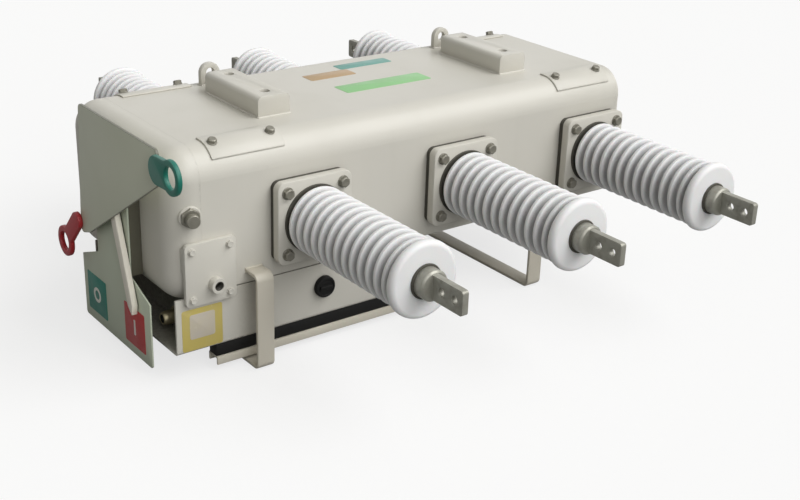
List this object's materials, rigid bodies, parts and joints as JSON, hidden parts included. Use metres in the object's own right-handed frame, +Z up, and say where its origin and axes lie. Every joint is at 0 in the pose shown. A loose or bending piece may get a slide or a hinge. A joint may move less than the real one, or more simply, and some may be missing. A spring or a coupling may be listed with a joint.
{
  "type": "pole-mounted load break switch",
  "caption": "Sealed steel switch tank with shed bushings along both sides, a hookstick lever with pull rings, a position pointer, a lower compartment and cradle straps to stand on.",
  "frame": {"origin": "middle of the overall box, on the ground under the straps", "axes": "+Z up, -Y towards the front bushings, +X along the tank away from the lever"},
  "size_m": [1.0246, 1.213, 0.428],
  "materials": {
    "tank_paint": "warm off-white enamel, satin",
    "strap_paint": "off-white enamel, satin",
    "bushing_rubber": "light grey silicone, matt",
    "terminal_metal": "tinned metal, dull",
    "lever_paint": "grey-green enamel, satin",
    "red_paint": "red enamel",
    "green_paint": "blue-green enamel",
    "pointer_paint": "cream enamel",
    "indicator_paint": "grey enamel, satin",
    "bare_steel": "zinc plated, dull",
    "black_rubber": "black, matt",
    "gland_brass": "nickel plated, dull"
  },
  "bodies": {
    "switch": {"tank_body": "tank_paint", "left_end_plate": "tank_paint", "right_end_plate": "tank_paint", "shaft_bearing": "bare_steel", "indicator_plate": "indicator_paint", "indicator_bracket": "indicator_paint", "mechanism_cover": "tank_paint", "earth_boss": "bare_steel", "lower_compartment": "tank_paint", "compartment_plug": "black_rubber", "cable_gland": "gland_brass", "front_base_rail": "strap_paint", "rear_base_rail": "strap_paint", "front_base_buffer": "black_rubber", "rear_base_buffer": "black_rubber", "left_cradle_strap": "strap_paint", "right_cradle_strap": "strap_paint", "left_mounting_saddle": "tank_paint", "right_mounting_saddle": "tank_paint", "left_hanger": "tank_paint", "right_hanger": "tank_paint", "left_lifting_lugs": "tank_paint", "right_lifting_lugs": "tank_paint", "front_left_flange": "tank_paint", "front_left_bushing": "bushing_rubber", "front_left_terminal": "terminal_metal", "front_middle_flange": "tank_paint", "front_middle_bushing": "bushing_rubber", "front_middle_terminal": "terminal_metal", "front_right_flange": "tank_paint", "front_right_bushing": "bushing_rubber", "front_right_terminal": "terminal_metal", "rear_left_flange": "tank_paint", "rear_left_bushing": "bushing_rubber", "rear_left_terminal": "terminal_metal", "rear_middle_flange": "tank_paint", "rear_middle_bushing": "bushing_rubber", "rear_middle_terminal": "terminal_metal", "rear_right_flange": "tank_paint", "rear_right_bushing": "bushing_rubber", "rear_right_terminal": "terminal_metal"},
    "lever": {"operating_shaft": "bare_steel", "operating_lever": "lever_paint", "red_pull_ring": "red_paint", "green_pull_ring": "green_paint"},
    "pointer": {"position_pointer": "pointer_paint"}
  },
  "joints": [
    {"name": "lever_turn", "type": "hinge", "parent": "switch", "child": "lever", "pos_m": [-0.49875, -0.02, 0.351], "axis": [1, 0, 0], "range_deg": [0, 65]},
    {"name": "pointer_turn", "type": "hinge", "parent": "switch", "child": "pointer", "pos_m": [-0.48675, -0.02, 0.351], "axis": [1, 0, 0], "range_deg": [0, 37]}
  ],
  "couplings": [
    {"joint": "pointer_turn", "follows": "lever_turn", "ratio": 0.5692}
  ]
}
